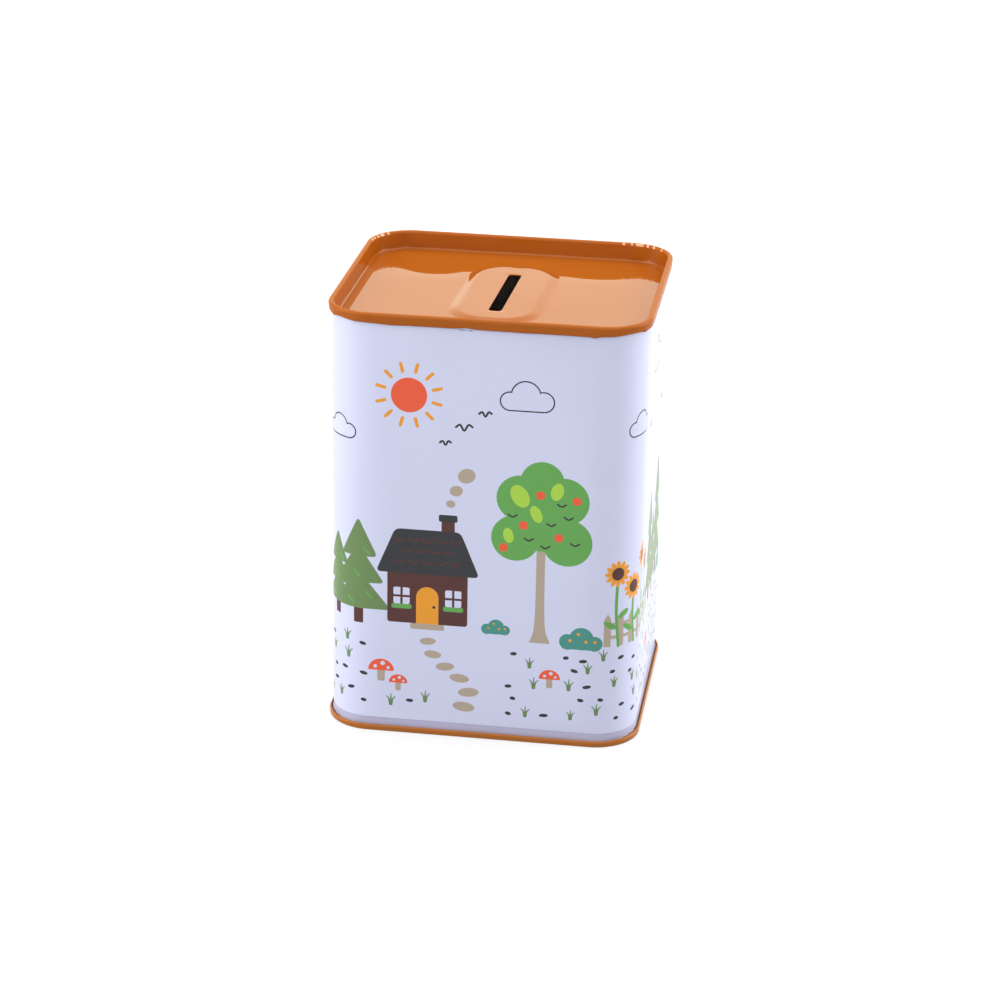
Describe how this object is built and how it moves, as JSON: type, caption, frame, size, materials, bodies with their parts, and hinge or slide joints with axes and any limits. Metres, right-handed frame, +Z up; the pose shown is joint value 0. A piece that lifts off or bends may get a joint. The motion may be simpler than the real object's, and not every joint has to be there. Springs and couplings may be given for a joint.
{
  "type": "tin money box",
  "caption": "Rounded rectangular tinplate money box with a printed wall, a seamed base and a push-on lid with a sunken panel and a coin slot.",
  "frame": {"origin": "middle of the base, on the surface that the box stands on", "axes": "+Z up, along the height; +X to the right seen from the front; the printed front faces -Y"},
  "size_m": [0.0822, 0.0744, 0.114],
  "materials": {
    "printed_tinplate": "gloss white print on tinplate",
    "orange_lacquer": "gloss orange lacquer on tinplate"
  },
  "bodies": {
    "box": {"body_shell": "printed_tinplate", "base_plate": "orange_lacquer"},
    "lid": {"lid": "orange_lacquer"}
  },
  "joints": [
    {"name": "lid_lift", "type": "slide", "parent": "box", "child": "lid", "axis": [0, 0, 1], "range_m": [0, 0.05]}
  ]
}
